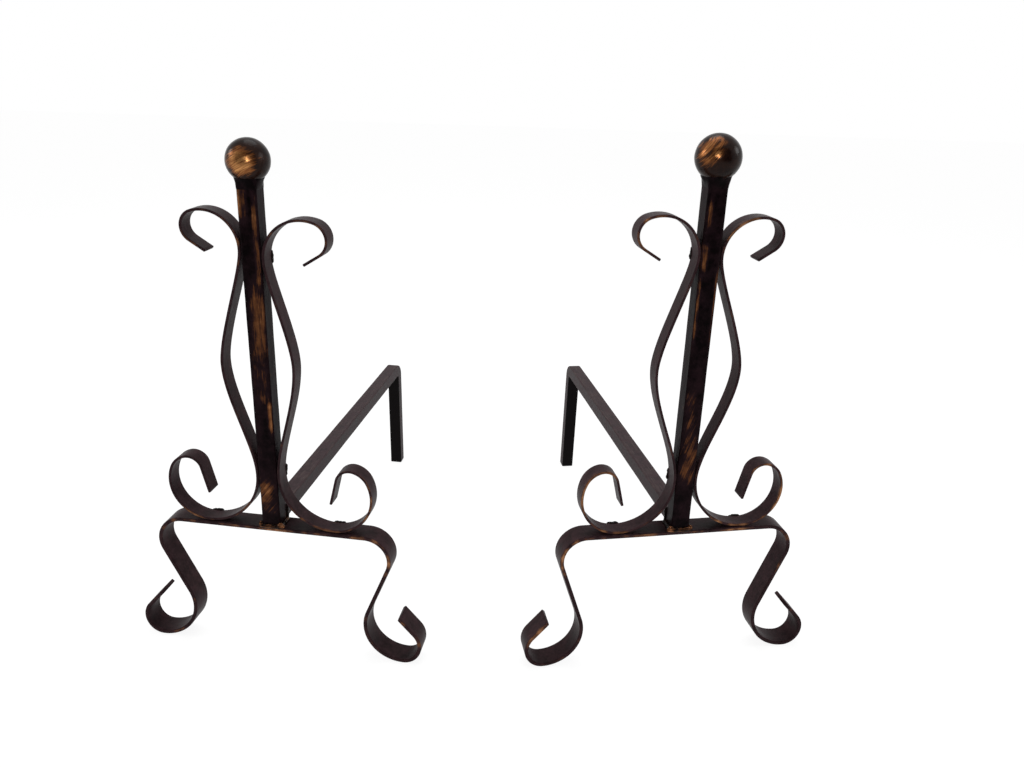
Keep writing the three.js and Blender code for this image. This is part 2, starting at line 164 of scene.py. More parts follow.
def rubbed_enamel(name, black, brown, copper, bright_copper, gloss, specular, lump_mm, metal_share=0.55,
                  bristle_share=0.25, patch_share=0.30):
    """Black enamel brushed on bar iron, with copper paint dragged over it almost dry.

    The enamel is smooth and dark with a brown-purple cast where it is thin. The copper lies in ragged streaks
    along the bar, because the brush was pulled that way. The mesh's rub value says where the brush pressed,
    and also carries painted shade and a painted highlight.
    """
    material = bpy.data.materials.new(name)
    material.use_nodes = True
    tree = material.node_tree
    tree.nodes.clear()
    along = add_node(tree, "ShaderNodeUVMap", uv_map="brush").outputs["UV"]
    place = add_node(tree, "ShaderNodeTexCoord").outputs["Object"]
    rub = add_node(tree, "ShaderNodeAttribute", attribute_name="rub").outputs["Fac"]

    # The brush's marks: streaks, broken up by bristle lines, and stronger in patches.
    streak_place = add_node(tree, "ShaderNodeMapping", {"Vector": along, "Scale": STREAKS})
    streak = add_node(tree, "ShaderNodeTexNoise",
                      {"Vector": streak_place.outputs[0], "Scale": 1.0, "Detail": 5.0, "Roughness": 0.6,
                       "Distortion": 0.5})
    bristle_place = add_node(tree, "ShaderNodeMapping", {"Vector": along, "Scale": BRISTLE_LINES})
    bristle = add_node(tree, "ShaderNodeTexNoise",
                       {"Vector": bristle_place.outputs[0], "Scale": 1.0, "Detail": 2.0})
    patch = add_node(tree, "ShaderNodeTexNoise",
                     {"Vector": place, "Scale": PRESSED_PATCHES, "Detail": 3.0, "Roughness": 0.6})
    only_streaks = add_node(tree, "ShaderNodeMath", {0: streak.outputs["Fac"], 1: STREAK_SHARE},
                            operation="MULTIPLY")
    with_bristle = add_node(tree, "ShaderNodeMath",
                            {0: bristle.outputs["Fac"], 1: bristle_share, 2: only_streaks.outputs[0]},
                            operation="MULTIPLY_ADD")
    marks = add_node(tree, "ShaderNodeMath",
                     {0: patch.outputs["Fac"], 1: patch_share, 2: with_bristle.outputs[0]},
                     operation="MULTIPLY_ADD")
    pressed = add_node(tree, "ShaderNodeMath", {0: marks.outputs[0], 1: MARK_CONTRAST, 2: rub},
                       operation="MULTIPLY_ADD")
    coat = add_node(tree, "ShaderNodeMapRange",
                    {"Value": pressed.outputs[0], "From Min": 0.75, "From Max": 0.90},
                    interpolation_type="SMOOTHSTEP")

    # The enamel is thin and brown where the brush pressed, and black where rub is below zero: thick enamel,
    # and painted shade where a piece lowers rub to stand in for shadow.
    thin = add_node(tree, "ShaderNodeTexNoise",
                    {"Vector": place, "Scale": THIN_PLACES, "Detail": 4.0, "Roughness": 0.65})
    thinned = add_node(tree, "ShaderNodeMath", {0: rub, 1: 0.8, 2: thin.outputs["Fac"]},
                       operation="MULTIPLY_ADD")
    thin_share = add_node(tree, "ShaderNodeMapRange",
                          {"Value": thinned.outputs[0], "From Min": 0.20, "From Max": 0.62})
    enamel = add_node(tree, "ShaderNodeMix",
                      {"Factor": thin_share.outputs[0], "A": srgb(black), "B": srgb(brown)}, data_type="RGBA")
    # A light touch leaves dull brown copper, and a heavy one bright metal.
    heavy = add_node(tree, "ShaderNodeMapRange",
                     {"Value": pressed.outputs[0], "From Min": 0.88, "From Max": 1.16},
                     interpolation_type="SMOOTHSTEP")
    copper_tone = add_node(tree, "ShaderNodeMix",
                           {"Factor": heavy.outputs[0], "A": srgb(copper), "B": srgb(bright_copper)},
                           data_type="RGBA")
    colour = add_node(tree, "ShaderNodeMix",
                      {"Factor": coat.outputs[0], "A": enamel.outputs["Result"],
                       "B": copper_tone.outputs["Result"]},
                      data_type="RGBA")
    shine = add_node(tree, "ShaderNodeMapRange",
                     {"Value": thin.outputs["Fac"], "From Min": 0.3, "From Max": 0.75,
                      "To Min": gloss - 0.05, "To Max": gloss + 0.12})
    rough = add_node(tree, "ShaderNodeMath", {0: coat.outputs[0], 1: 0.08, 2: shine.outputs[0]},
                     operation="MULTIPLY_ADD")
    metal = add_node(tree, "ShaderNodeMath", {0: coat.outputs[0], 1: metal_share}, operation="MULTIPLY")

    # Enamel levels out in soft lumps, and the dry copper stands on it as a thin skin.
    lump = add_node(tree, "ShaderNodeTexNoise", {"Vector": place, "Scale": 1000.0 / lump_mm, "Detail": 2.0})
    lump_bump = add_node(tree, "ShaderNodeBump",
                         {"Height": lump.outputs["Fac"], "Strength": 0.35, "Distance": 0.0004})
    skin_bump = add_node(tree, "ShaderNodeBump",
                         {"Height": marks.outputs[0], "Strength": 0.4, "Distance": 0.0003,
                          "Normal": lump_bump.outputs[0]})
    surface = add_node(tree, "ShaderNodeBsdfPrincipled",
                       {"Base Color": colour.outputs["Result"], "Metallic": metal.outputs[0],
                        "Roughness": rough.outputs[0], "Specular IOR Level": specular,
                        "Normal": skin_bump.outputs[0]})
    add_node(tree, "ShaderNodeOutputMaterial", {"Surface": surface.outputs[0]})
    return material


POST_FINISH = rubbed_enamel(
    "black_enamel_copper_dragged_on_post", black="#080405", brown="#24161a", copper="#5c3822",
    bright_copper="#ad764c", gloss=0.32, specular=0.022, lump_mm=3.0)
BALL_FINISH = rubbed_enamel(
    "black_enamel_copper_dabbed_on_ball", black="#0e0708", brown="#2c1a13", copper="#7a4a28",
    bright_copper="#cf955c", gloss=0.18, specular=0.08, lump_mm=5.0, metal_share=0.6, bristle_share=0.40,
    patch_share=0.15)
STRAP_FINISH = rubbed_enamel(
    "black_enamel_copper_wiped_on_flat_bar", black="#201315", brown="#3c292c", copper="#60402e",
    bright_copper="#a37452", gloss=0.38, specular=0.045, lump_mm=4.0)
BAR_FINISH = rubbed_enamel(
    "black_enamel_worn_on_log_bar", black="#0e0a0b", brown="#3e3033", copper="#463a3a",
    bright_copper="#6a5c5a", gloss=0.44, specular=0.05, lump_mm=2.5, metal_share=0.2)
WELD_FINISH = rubbed_enamel(
    "black_enamel_over_weld_bead", black="#080405", brown="#1a100d", copper="#7a4f33",
    bright_copper="#d0a080", gloss=0.14, specular=0.05, lump_mm=1.6)


# ---- the bent bars' middle lines ----------------------------------------------------------------

class MiddleLine:
    """The middle line of a bent bar, walked from one end: stations of (x, z, heading)."""

    def __init__(self, x, z, heading_degrees):
        self.stations = [(x, z, math.radians(heading_degrees))]

    def straight(self, length):
        """Goes straight on."""
        x, z, heading = self.stations[-1]
        steps = max(1, math.ceil(length / STRAIGHT_STEP))
        for step in range(1, steps + 1):
            run = length * step / steps
            self.stations.append((x + run * math.cos(heading), z + run * math.sin(heading), heading))
        return self

    def bend(self, degrees, radius):
        """Turns left by so many degrees, or right where they are negative, on an arc."""
        x, z, heading = self.stations[-1]
        side = math.copysign(1, degrees)
        middle_x = x - side * radius * math.sin(heading)
        middle_z = z + side * radius * math.cos(heading)
        steps = max(1, math.ceil(abs(degrees) / BEND_STEP_DEGREES))
        for step in range(1, steps + 1):
            turned = heading + math.radians(degrees) * step / steps
            self.stations.append((middle_x + side * radius * math.sin(turned),
                                  middle_z - side * radius * math.cos(turned), turned))
        return self

    def sweep_to(self, x, z, heading_degrees, start_pull, end_pull, steps=30):
        """Goes to a point and heading in one free curve, pulled along the headings at both ends."""
        x0, z0, heading = self.stations[-1]
        finish = math.radians(heading_degrees)
        a = Vector((x0, z0))
        b = a + start_pull * Vector((math.cos(heading), math.sin(heading)))
        d = Vector((x, z))
        c = d - end_pull * Vector((math.cos(finish), math.sin(finish)))
        for step in range(1, steps + 1):
            t = step / steps
            point = (1 - t) ** 3 * a + 3 * (1 - t) ** 2 * t * b + 3 * (1 - t) * t * t * c + t ** 3 * d
            slope = (1 - t) ** 2 * (b - a) + 2 * (1 - t) * t * (c - b) + t * t * (d - c)
            self.stations.append((point.x, point.y, math.atan2(slope.y, slope.x)))
        return self

    def reversed(self):
        """The same line, walked from its other end."""
        line = MiddleLine(0, 0, 0)
        line.stations = [(x, z, heading + math.pi) for x, z, heading in reversed(self.stations)]
        return line

    def mirrored(self):
        """The line with its sides changed over."""
        line = MiddleLine(0, 0, 0)
        line.stations = [(-x, z, math.pi - heading) for x, z, heading in self.stations]
        return line

    def followed_by(self, other):
        """Goes on along another line, which starts where this one ends."""
        self.stations += other.stations[1:]
        return self


def rounded_section(thickness, width, corner, arc_steps=4, edge_rows=2):
    """Points round a bar's section as (across the thickness, across the width), starting mid-face."""
    half_t, half_w = thickness / 2, width / 2
    corners = [(half_t, half_w, 0), (-half_t, half_w, 1), (-half_t, -half_w, 2), (half_t, -half_w, 3)]
    points = []
    for t, w, quarter in corners:
        centre_t = t - math.copysign(corner, t)
        centre_w = w - math.copysign(corner, w)
        start = quarter * math.pi / 2
        turns = [start + math.pi / 2 * i / arc_steps for i in range(arc_steps + 1)]
        points.append([(centre_t + corner * math.cos(a), centre_w + corner * math.sin(a)) for a in turns])
    section = []
    for index, arc in enumerate(points):
        section += arc
        following = points[(index + 1) % 4][0]
        last = arc[-1]
        gap = math.dist(last, following)
        rows = [CORNER_ROW / gap] if gap > 1.2 else []
        rows += [r / (edge_rows + 1) for r in range(1, edge_rows + 1)] if gap > 4 else []
        rows += [1 - CORNER_ROW / gap] if gap > 1.2 else []
        across_t, across_w = following[0] - last[0], following[1] - last[1]
        section += [(last[0] + across_t * r, last[1] + across_w * r) for r in rows]
    return section


def finish_piece(name, vertices, faces, rub, brush, side, finish, nodes):
    """Makes the mesh of a piece drawn in an andiron's own frame, and sets it in the pair's frame."""
    mesh = bpy.data.meshes.new(name)
    mesh.from_pydata([PLACE[side] @ Vector(v) for v in vertices], [], faces)
    mesh.polygons.foreach_set("use_smooth", [True] * len(mesh.polygons))
    mesh.attributes.new("rub", "FLOAT", "POINT").data.foreach_set("value", rub)
    layer = mesh.uv_layers.new(name="brush")
    for loop in mesh.loops:
        layer.data[loop.index].uv = (brush[loop.vertex_index][0] * MM, brush[loop.vertex_index][1] * MM)
    mesh.materials.append(finish)
    piece = bpy.data.objects.new(name, mesh)
    bpy.context.scene.collection.objects.link(piece)
    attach(piece, f"{side}_andiron")
    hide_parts(*[f"{side}_{node}" for node in nodes])
    return piece


def loft(rings):
    """Faces between rings of the same count, with both ends closed."""
    count = len(rings[0])
    faces = []
    for ring in range(len(rings) - 1):
        for i in range(count):
            j = (i + 1) % count
            faces.append((ring * count + i, ring * count + j, (ring + 1) * count + j, (ring + 1) * count + i))
    faces.append(tuple(reversed(range(count))))
    faces.append(tuple((len(rings) - 1) * count + i for i in range(count)))
    return faces


def outward_faces(vertices, faces):
    """The faces turned so that the closed body's volume is positive."""
    volume = 0.0
    for face in faces:
        a = Vector(vertices[face[0]])
        for b, c in zip(face[1:], face[2:]):
            volume += a.dot(Vector(vertices[b]).cross(Vector(vertices[c])))
    return faces if volume > 0 else [tuple(reversed(face)) for face in faces]


def bent_bar(name, line, section, to_space, rub_at, side, finish, node, uneven=0.06, end_ease=0.35,
             drift=lambda travel: 0.0):
    """Sweeps a section along a middle line. Its ends are cut square with their edges eased.

    Its faces stray by up to uneven millimetres. The brush went straight along the bar, or drifted across it
    by drift(travel).
    """
    stations = line.stations
    travelled = [0.0]
    for before, after in zip(stations, stations[1:]):
        travelled.append(travelled[-1] + math.dist(before[:2], after[:2]))
    total = travelled[-1]
    spread_t = max(abs(p[0]) for p in section)
    spread_w = max(abs(p[1]) for p in section)
    around = [0.0]
    for before, after in zip(section, section[1:]):
        around.append(around[-1] + math.dist(before, after))
    rows = []
    first, last = stations[0], stations[-1]

    def shifted(station, run):
        x, z, heading = station
        return (x + run * math.cos(heading), z + run * math.sin(heading), heading)

    rows.append((first, end_ease, 0.0))
    rows.append((shifted(first, end_ease), 0.0, end_ease))
    rows += [(s, 0.0, t) for s, t in zip(stations[1:-1], travelled[1:-1]) if end_ease < t < total - end_ease]
    rows.append((shifted(last, -end_ease), 0.0, total - end_ease))
    rows.append((last, end_ease, total))
    seed = Vector((len(name) * 3.7, OUTWARD[side] * 11.0, stations[0][0] * 0.1))
    vertices, rub, brush, rings = [], [], [], []
    for (x, z, heading), inset, travel in rows:
        ring = []
        for (t, w), turn in zip(section, around):
            wave = noise.noise(seed + Vector((travel * 0.045, t * 0.12, w * 0.12))) * uneven
            t_in = t * (1 - inset / spread_t) * (1 + wave / spread_t)
            w_in = w * (1 - inset / spread_w) * (1 + wave / spread_w)
            ring.append(len(vertices))
            vertices.append(to_space(x - t_in * math.sin(heading), z + t_in * math.cos(heading), w_in))
            rub.append(rub_at(t, w, travel, total))
            brush.append((travel + seed.x * 40, turn + drift(travel)))
        rings.append(ring)
    faces = outward_faces(vertices, loft(rings))
    return finish_piece(name, vertices, faces, rub, brush, side, finish, [node])


# ---- pieces -------------------------------------------------------------------------------------

def near_edge(width, w, reach):
    """How near a point is to a flat bar's long edges: 1 on the edge face, falling to 0 on the flats."""
    return math.exp(-max(0.0, width / 2 - abs(w)) / reach)


def broken(travel, seed):
    """How much of the edge's copper is left along a bar: it comes and goes every few centimetres."""
    slow = noise.noise(Vector((travel * 0.035, seed, 0)))
    quick = noise.noise(Vector((travel * 0.16, seed, 4)))
    return min(1.0, max(0.0, 0.45 + 0.9 * slow + 0.7 * quick))


def pressed_at(smudges, travel):
    """The strongest of the places (middle, half length, strength) where the brush was pressed."""
    strongest = 0.0
    for middle, half, strength in smudges:
        strongest = max(strongest, strength * (1 - ((travel - middle) / half) ** 2))
    return strongest


def scroll_line(rise, belly, curl):
    """A scroll's middle line, from the tip of its upper curl to the tip of its lower curl."""
    return (MiddleLine(SCROLL_MIDDLE, UPPER_CONTACT_HEIGHT + rise, 90)
            .bend(-UPPER_CURL_DEGREES, UPPER_CURL_RADIUS * curl)
            .bend(-UPPER_TIP_DEGREES, UPPER_TIP_RADIUS * curl)
            .straight(UPPER_TIP_LENGTH)
            .reversed()
            .straight(CONTACT_LENGTH)
            .sweep_to(BELLY_REACH + belly, BELLY_HEIGHT, -90, BELLY_TOP_PULL, BELLY_UPPER_PULL)
            .sweep_to(SCROLL_MIDDLE, LOWER_CONTACT_HEIGHT + CONTACT_LENGTH, -90, BELLY_LOWER_PULL,
                      BELLY_BOTTOM_PULL)
            .straight(CONTACT_LENGTH)
            .bend(90, LOWER_SWEEP_RADIUS)
            .bend(LOWER_RISE_DEGREES, LOWER_RISE_RADIUS)
            .bend(LOWER_TOP_DEGREES, LOWER_TOP_RADIUS)
            .bend(LOWER_TIP_DEGREES, LOWER_TIP_RADIUS)
            .straight(LOWER_TIP_LENGTH))


# The share of the front's copper that the brush left on the backs of the flat bars.
BACK_SHARE = 0.6

# Where the brush was pressed on each scroll and foot strap: (middle, half length, strength), in millimetres
# along the bar.
SCROLL_SMUDGES = {
    "left_outer": [(92, 22, 0.14), (360, 50, 0.12), (250, 60, 0.04), (60, 55, 0.06)],
    "left_inner": [(60, 50, 0.08), (375, 55, 0.18), (425, 35, 0.14)],
    "right_outer": [(78, 26, 0.22), (370, 50, 0.20), (440, 50, 0.26), (50, 50, 0.06)],
    "right_inner": [(38, 30, 0.20), (90, 20, 0.10), (375, 50, 0.18), (440, 45, 0.26), (60, 50, 0.08)],
}
STRAP_SMUDGES = {
    "left": [(296, 100, 0.20), (395, 45, 0.16), (575, 30, 0.20), (205, 40, 0.12)],
    "right": [(310, 110, 0.16), (205, 45, 0.24), (20, 40, 0.20), (400, 40, 0.16)],
}


def scroll(side, place_name, hand):
    """A scroll of flat bar on the side that hand gives, with copper on its edges and smudged on its flats."""
    rise, belly, curl = BY_HAND[f"{side}_{place_name}"][:3]
    line = scroll_line(rise, belly, curl)
    if hand < 0:
        line = line.mirrored()
    smudges = SCROLL_SMUDGES[f"{side}_{place_name}"]
    seed = OUTWARD[side] * 7.0 + hand * 2.0

    def rub_at(t, w, travel, total):
        pressed = pressed_at(smudges, travel)
        front = 1.0 if w < 0 else BACK_SHARE
        left_over = broken(travel, seed)
        edge = near_edge(SCROLL_WIDTH, w, 0.5) * front * (0.26 * left_over + 0.4 * pressed)
        face = near_edge(SCROLL_WIDTH, w, 6.0) * front * pressed * (0.5 + 0.5 * left_over)
        return edge + 1.2 * face - 0.16

    section = rounded_section(SCROLL_THICKNESS, SCROLL_WIDTH, SCROLL_CORNER, 3)
    bent_bar(f"{side}_{place_name}_scroll_bar", line, section, lambda x, z, w: (x, w, z), rub_at, side,
             STRAP_FINISH, f"{place_name}_scroll")


def half_strap(leg, extra_slant):
    """Half of the foot strap's middle line, from under the post to the tip of the foot on its +X side."""
    degrees = LEG_SLANT_DEGREES + extra_slant
    slant = math.sin(math.radians(degrees))
    bends_height = (SHOULDER_RADIUS + FOOT_CURL_RADIUS) * (1 + slant)
    leg_length = (leg - STRAP_THICKNESS - bends_height) / math.sqrt(1 - slant * slant)
    return (MiddleLine(0, -STRAP_THICKNESS / 2, 0)
            .straight(SHOULDER_START)
            .bend(-90 - degrees, SHOULDER_RADIUS)
            .straight(leg_length)
            .bend(90 + degrees, FOOT_CURL_RADIUS)
            .bend(FOOT_TOE_DEGREES, FOOT_TOE_RADIUS)
            .bend(FOOT_TIP_DEGREES, FOOT_TIP_RADIUS)
            .straight(FOOT_TIP_LENGTH))


# How far from its middle the top of the foot strap is painted black as painted shade, where the post shades
# it.
PAINTED_SHADE_REACH = 75


def foot_strap(side):
    """The flat bar bent into both front feet, with copper along its front edge, and painted shade on its top
    beside the post.
    """
    leg = LEG_HEIGHT[side]
    minus_foot, plus_foot = ("outer", "inner") if side == "left" else ("inner", "outer")
    line = (half_strap(leg, BY_HAND[f"{side}_{minus_foot}"][3]).mirrored().reversed()
            .followed_by(half_strap(leg, BY_HAND[f"{side}_{plus_foot}"][3])))
    middle_y = STRAP_FRONT + STRAP_WIDTH / 2
    smudges = STRAP_SMUDGES[side]
    seed = OUTWARD[side] * 13.0

    def rub_at(t, w, travel, total):
        pressed = pressed_at(smudges, travel)
        front = 1.0 if w < 0 else BACK_SHARE
        left_over = broken(travel, seed)
        edge = near_edge(STRAP_WIDTH, w, 0.7) * front * (0.24 + 0.6 * pressed) * left_over
        face = near_edge(STRAP_WIDTH, w, 5.0) * front * pressed * left_over
        on_top = t > 1
        painted_shade = max(0.0, 1 - abs(travel - total / 2) / PAINTED_SHADE_REACH) if on_top else 0.0
        # Painted shade: the top face near the post is made darker, black enamel standing in for the post's
        # shadow.
        return edge + face - 0.15 - 0.25 * painted_shade

    section = rounded_section(STRAP_THICKNESS, STRAP_WIDTH, STRAP_CORNER, 3)
    bent_bar(f"{side}_foot_strap_bar", line, section, lambda x, z, w: (x, middle_y + w, z), rub_at, side,
             STRAP_FINISH, "foot_strap")


def log_bar(side):
    """The square bar that carries the wood, lighter brown on its top and the back of its leg, and painted
    black on the front of its leg as painted shade.
    """
    leg = LEG_HEIGHT[side]
    front = POST_WIDTH / 2 + SEAT
    run = BAR_REACH - BAR_WIDTH / 2 - BAR_BEND_RADIUS - front
    line = (MiddleLine(front, SEAT + BAR_WIDTH / 2, 0)
            .straight(run)
            .bend(REAR_LEG_SLANT_DEGREES - 90, BAR_BEND_RADIUS))
    x, z, heading = line.stations[-1]
    cut_off = 0.5 * BAR_WIDTH * math.tan(math.radians(REAR_LEG_SLANT_DEGREES))
    line.straight((z + leg) / -math.sin(heading) - cut_off)
    corner_reach = 2.2

    def rub_at(t, w, travel, total):
        corner = max(0.0, abs(t) + abs(w) - BAR_WIDTH + corner_reach) / corner_reach
        on_leg = min(1.0, max(0.0, (travel - run - 4) / 8))
        inside = 1.0 if t < -BAR_WIDTH / 2 + BAR_CORNER else 0.0
        outside = 1.0 if t > BAR_WIDTH / 2 - BAR_CORNER else 0.0
        # Painted shade: the front face of the rear leg is made black. The top and the back of the leg are
        # made lighter brown.
        return min(1.0, corner) * 0.10 - 0.06 + 0.12 * outside - 0.75 * on_leg * inside

    section = rounded_section(BAR_WIDTH, BAR_WIDTH, BAR_CORNER, 4, 3)
    bent_bar(f"{side}_log_bar_square", line, section, lambda x, z, w: (-w, x, z), rub_at, side,
             BAR_FINISH, "log_bar")


# Copper strokes on the front of each post: (lowest, highest, across, half width, strength), in millimetres
# from the foot strap's top and from the post's middle.
POST_STROKES = {
    "left": [(256, 310, -4.4, 4.4, 0.26), (190, 300, 5.2, 1.4, 0.26), (140, 225, 2.0, 6.5, 0.27),
             (100, 175, 0.0, 8.0, 0.20), (84, 122, 6.0, 1.8, 0.30), (50, 110, -5.0, 2.0, 0.14),
             (2, 60, 0.0, 8.0, 0.22), (16, 48, -2.0, 6.5, 0.28)],
    "right": [(256, 288, -4.5, 1.4, 0.28), (222, 256, -5.2, 2.2, 0.24), (160, 235, -7.2, 1.0, 0.24),
              (150, 250, 6.8, 1.0, 0.18), (95, 165, 2.0, 3.0, 0.12), (84, 140, -2.5, 4.5, 0.23),
              (30, 135, 0.0, 8.0, 0.18), (32, 104, 0.5, 7.5, 0.24), (4, 34, 3.0, 5.0, 0.08)],
}
# Low on each post the brush went at a slant: up to which height, and how far over for each millimetre up.
POST_SLANT = {"left": (60, 0.8), "right": (150, 0.3)}


def post(side):
    """The square upright, with strokes of copper dragged down its front."""
    line = MiddleLine(0, SEAT, 90).straight(POST_LENGTH[side])
    strokes = POST_STROKES[side]
    slant_top, slope = POST_SLANT[side]
    half = POST_WIDTH / 2
    corner_reach = 2.4

    def rub_at(t, w, travel, total):
        across = -t
        front = min(1.0, max(0.0, (-w - half + 2.6) / 2.2))
        rub = 0.0
        for low, high, middle, spread, strength in strokes:
            fade = (high - low) / 4
            in_height = min(1.0, max(0.0, travel - low) / fade, max(0.0, high - travel) / fade)
            in_width = max(0.0, 1 - abs((across - middle) / (spread + 1.2)) ** 3)
            rub = max(rub, strength * in_height * in_width)
        corner = max(0.0, abs(t) + abs(w) - POST_WIDTH + corner_reach) / corner_reach
        return front * (1.5 * rub - 0.17) + min(1.0, corner) * 0.10 - 0.06

    section = rounded_section(POST_WIDTH, POST_WIDTH, POST_CORNER, 5, 9)
    bent_bar(f"{side}_post_square", line, section, lambda x, z, w: (x, w, z), rub_at, side,
             POST_FINISH, "post", uneven=0.10,
             drift=lambda travel: slope * min(travel, slant_top))


# Where each ball was dabbed with copper: directions from its middle, with how wide and how strong. The small
# strong spot at the middle of the right ball's front is a painted highlight streak in bright copper.
BALL_COPPER_AND_PAINTED_HIGHLIGHT = {
    "left": [((0.02, -0.98, 0.02), 1.00, 0.44), ((-0.57, -0.80, 0.05), 0.60, 0.26),
             ((0.80, -0.58, 0.15), 0.25, 0.16)],
    # The right ball's second entry is a painted highlight streak at the middle of its front.
    "right": [((-0.74, -0.62, 0.30), 1.00, 0.32), ((-0.40, -0.88, 0.22), 0.30, 0.42),
              ((-0.30, -0.62, 0.72), 0.60, 0.28)],
}
# The way the brush was pulled over the front of each ball, in degrees up from level.
BALL_STROKE_DEGREES = {"left": 28, "right": 52}


def ball(side):
    """A forged ball, not quite round, with copper dabbed on its front, and on the right one a painted
    highlight at the middle of its front.
    """
    radius = BALL_RADIUS[side]
    centre = Vector((0, 0, SEAT + POST_LENGTH[side] + SEAT + radius))
    columns, lines = 96, 64
    stroke = math.radians(BALL_STROKE_DEGREES[side])
    level, rise = math.cos(stroke), math.sin(stroke)
    vertices, rub, brush, rings = [], [], [], []
    for line_index in range(1, lines):
        down = math.pi * line_index / lines
        ring = []
        for column in range(columns):
            turn = 2 * math.pi * column / columns
            out = Vector((math.sin(down) * math.sin(turn), -math.sin(down) * math.cos(turn),
                          math.cos(down)))
            wave = noise.noise(out * 2.2 + Vector((OUTWARD[side] * 5.0, 0, 0))) * 0.12
            ring.append(len(vertices))
            vertices.append(tuple(centre + out * (radius + wave)))
            copper_and_highlight = 0.0
            for towards, reach, strength in BALL_COPPER_AND_PAINTED_HIGHLIGHT[side]:
                away = (out - Vector(towards).normalized()).length / reach
                copper_and_highlight = max(copper_and_highlight, strength * min(1.0, 1.6 * max(0.0, 1 - away)))
            rub.append(copper_and_highlight - 0.14)
            brush.append((radius * 1.3 * (out.x * level + out.z * rise),
                          radius * 1.3 * (out.z * level - out.x * rise) + 3.0 * out.y))
        rings.append(ring)
    faces = outward_faces(vertices, loft(rings))
    finish_piece(f"{side}_ball_top", vertices, faces, rub, brush, side, BALL_FINISH, ["ball"])


def weld(name, side, lumps, nodes, voxel=0.45, rub_level=0.0, settled=4, caught=()):
    """One weld bead, as overlapping drops of molten metal that have run together.

    The brush caught it at the places in caught, each a centre, how far, and how strongly.
    """
    vertices, faces = [], []
    for centre, radii in lumps:
        base = len(vertices)
        lines, columns = 8, 14
        for i in range(lines + 1):
            down = math.pi * i / lines
            for j in range(columns):
                turn = 2 * math.pi * j / columns
                vertices.append((centre[0] + radii[0] * math.sin(down) * math.cos(turn),
                                 centre[1] + radii[1] * math.sin(down) * math.sin(turn),
                                 centre[2] + radii[2] * math.cos(down)))
        for i in range(lines):
            for j in range(columns):
                k = (j + 1) % columns
                faces.append((base + i * columns + j, base + (i + 1) * columns + j,
                              base + (i + 1) * columns + k, base + i * columns + k))
    rough_mesh = bpy.data.meshes.new(name + "_drops")
    rough_mesh.from_pydata(vertices, [], faces)
    drops = bpy.data.objects.new(name + "_drops", rough_mesh)
    bpy.context.scene.collection.objects.link(drops)
    remesh = drops.modifiers.new("run together", "REMESH")
    remesh.mode = "VOXEL"
    remesh.voxel_size = voxel
    settle = drops.modifiers.new("settle", "SMOOTH")
    settle.factor = 0.5
    settle.iterations = settled
    shaped = drops.evaluated_get(bpy.context.evaluated_depsgraph_get()).to_mesh()
    points = [tuple(v.co) for v in shaped.vertices]
    polygons = [tuple(p.vertices) for p in shaped.polygons]
    bpy.data.objects.remove(drops)
    rub = [rub_level + sum(strength * max(0.0, 1 - math.dist(point, place) / far)
                           for place, far, strength in caught) for point in points]
    brush = [(p[0] + p[1], p[2]) for p in points]
    finish_piece(name, points, outward_faces(points, polygons), rub, brush, side, WELD_FINISH,
                 nodes)


def drops_along(path, size, count, rng, spread=0.25):
    """Drops spaced along a path of points, each a little different in size and place."""
    lengths = [0.0]
    for a, b in zip(path, path[1:]):
        lengths.append(lengths[-1] + math.dist(a, b))
    lumps = []
    for i in range(count):
        at = lengths[-1] * i / max(1, count - 1)
        k = max(j for j in range(len(path) - 1) if lengths[j] <= at + 1e-9)
        share = (at - lengths[k]) / (lengths[k + 1] - lengths[k])
        point = [a + (b - a) * share + rng.uniform(-spread, spread)
                 for a, b in zip(path[k], path[k + 1])]
        scale = rng.uniform(0.85, 1.18)
        lumps.append((point, [s * scale for s in size]))
    return lumps


# The neck collar, in millimetres from the post's top: where it starts on the post, where it meets the ball,
# and where it ends under the ball's skin. It is lumpier on the right-hand andiron.
COLLAR_FOOT = -3.6
COLLAR_MOUTH = 4.6
COLLAR_TOP = 6.0
COLLAR_LUMPS = {"left": 0.35, "right": 0.8}


def neck_weld(side):
    """A collar of weld that flares from the square post to the ball, ground smooth and painted thick."""
    top = SEAT + POST_LENGTH[side]
    radius = BALL_RADIUS[side]
    mouth_reach = math.sqrt(radius ** 2 - (radius + SEAT - COLLAR_MOUTH) ** 2) + 0.15
    half = POST_WIDTH / 2
    columns, lines = 72, 22
    vertices, rings, rub, brush = [], [], [], []
    for line_index in range(lines + 1):
        height = COLLAR_FOOT + (COLLAR_TOP - COLLAR_FOOT) * (line_index / lines)
        flare = min(1.0, max(0.0, (height - COLLAR_FOOT) / (COLLAR_MOUTH - COLLAR_FOOT))) ** 1.3
        ring = []
        for column in range(columns):
            turn = 2 * math.pi * column / columns
            square = min(half / max(abs(math.cos(turn)), abs(math.sin(turn))), half * 1.30)
            reach = square + 0.1 + (mouth_reach - 0.1 - square) * flare
            if height > COLLAR_MOUTH:
                reach -= 0.6 * ((height - COLLAR_MOUTH) / (COLLAR_TOP - COLLAR_MOUTH))
            lump = noise.noise(Vector((math.cos(turn) * 2.0, math.sin(turn) * 2.0,
                                       height * 0.22 + OUTWARD[side] * 9)))
            reach += lump * COLLAR_LUMPS[side] * (0.2 + flare)
            ring.append(len(vertices))
            vertices.append((reach * math.cos(turn), reach * math.sin(turn), top + height))
            rub.append(-0.26)
            brush.append((height, reach * turn))
        rings.append(ring)
    finish_piece(f"{side}_neck_weld_collar", vertices, outward_faces(vertices, loft(rings)), rub, brush, side,
                 POST_FINISH, ["neck_weld"])


